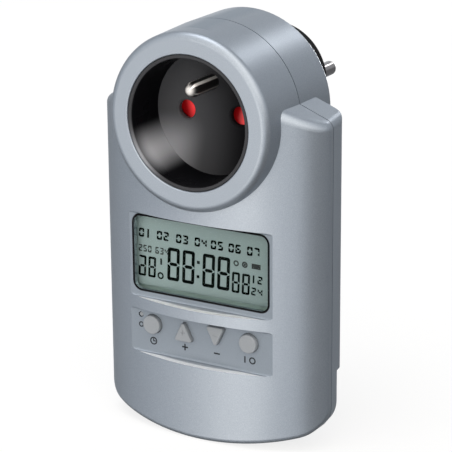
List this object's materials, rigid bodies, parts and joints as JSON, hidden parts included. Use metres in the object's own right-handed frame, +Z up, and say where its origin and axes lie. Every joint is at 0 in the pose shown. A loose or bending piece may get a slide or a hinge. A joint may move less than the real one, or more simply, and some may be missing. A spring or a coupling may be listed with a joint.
{
  "type": "plug-in timer switch",
  "caption": "Weekly timer in a moulded case that plugs into a wall outlet and switches the outlet on its front, with a flat display, round and arrow keys and a reset pin.",
  "frame": {"origin": "centre of the plug's face, halfway between its two mains pins", "axes": "+Y out of the plug's face into the wall, +Z up, +X to the right for someone who reads the display"},
  "size_m": [0.0808, 0.0765, 0.1348],
  "materials": {
    "housing": "silver-blue metallic paint, satin",
    "black_gloss": "glossy",
    "black_matte": "fine matte",
    "block": "matte",
    "red_plastic": "glossy",
    "nickel": "nickel plated, smooth",
    "spring_steel": "bright",
    "brass": "bright",
    "window": "clear acrylic",
    "display_cell": "liquid crystal cell, greenish grey",
    "holder": "matte",
    "reflector": "matte",
    "connector_rubber": "soft",
    "key_plastic": "satin, light warm grey",
    "switch_body": "matte",
    "board": "green lacquer on glass fibre",
    "resin": "matt resin",
    "can": "tinned",
    "relay_plastic": "matte",
    "iron": "zinc plated",
    "copper_wire": "enamelled copper winding",
    "capacitor_box": "matte",
    "disc_coat": "dipped",
    "resistor_coat": "lacquered"
  },
  "bodies": {
    "case": {"front_shell": "housing", "rear_shell": "housing", "socket_cup": "black_gloss", "contact_block": "block", "shutter_spring": "spring_steel", "socket_live_contact": "brass", "socket_neutral_contact": "brass", "socket_earth_pin": "nickel", "plug_base": "black_matte", "plug_live_pin": "nickel", "plug_neutral_pin": "nickel", "live_feed_bar": "brass", "neutral_bar": "brass", "plug_earth_spring": "spring_steel", "plug_earth_sleeve": "nickel", "display_window": "window", "lcd_glass": "display_cell", "lcd_holder": "holder", "display_backing": "reflector", "zebra_strip": "connector_rubber", "key_switches": "switch_body", "display_board": "board", "power_board": "board", "controller_chip": "resin", "quartz_can": "can", "backup_cell": "can", "board_header": "switch_body", "relay_base": "relay_plastic", "relay_cover": "relay_plastic", "relay_yoke": "iron", "relay_coil": "copper_wire", "relay_contacts": "brass", "film_capacitor": "capacitor_box", "varistor": "disc_coat", "fuse_resistor": "resistor_coat", "smoothing_capacitor": "can", "board_screws": "can", "case_screws": "can"},
    "shutter": {"shutter": "red_plastic"},
    "armature": {"relay_armature": "iron"},
    "reset": {"reset_button": "key_plastic"},
    "mode_key": {"mode_button": "key_plastic", "mode_stem": "switch_body"},
    "up_key": {"up_button": "key_plastic", "up_stem": "switch_body"},
    "down_key": {"down_button": "key_plastic", "down_stem": "switch_body"},
    "ok_key": {"ok_button": "key_plastic", "ok_stem": "switch_body"}
  },
  "joints": [
    {"name": "mode_press", "type": "slide", "parent": "case", "child": "mode_key", "axis": [0, 1, 0], "range_m": [0, 0.0006], "stiffness_N_per_m": 2500, "springref_m": -0.0002},
    {"name": "up_press", "type": "slide", "parent": "case", "child": "up_key", "axis": [0, 1, 0], "range_m": [0, 0.0006], "stiffness_N_per_m": 2500, "springref_m": -0.0002},
    {"name": "down_press", "type": "slide", "parent": "case", "child": "down_key", "axis": [0, 1, 0], "range_m": [0, 0.0006], "stiffness_N_per_m": 2500, "springref_m": -0.0002},
    {"name": "ok_press", "type": "slide", "parent": "case", "child": "ok_key", "axis": [0, 1, 0], "range_m": [0, 0.0006], "stiffness_N_per_m": 2500, "springref_m": -0.0002},
    {"name": "reset_press", "type": "slide", "parent": "case", "child": "reset", "axis": [0, 1, 0], "range_m": [0, 0.0005], "stiffness_N_per_m": 1500, "springref_m": -0.0002},
    {"name": "shutter_turn", "type": "hinge", "parent": "case", "child": "shutter", "pos_m": [0, -0.0385, -0.003], "axis": [0, 1, 0], "range_deg": [0, 42], "stiffness_Nm_per_rad": 0.002, "springref_deg": -11.46},
    {"name": "armature_rock", "type": "hinge", "parent": "case", "child": "armature", "pos_m": [-0.0085, -0.0447, -0.093], "axis": [0, 0, -1], "range_deg": [0, 4], "stiffness_Nm_per_rad": 0.01, "springref_deg": -2.86}
  ]
}
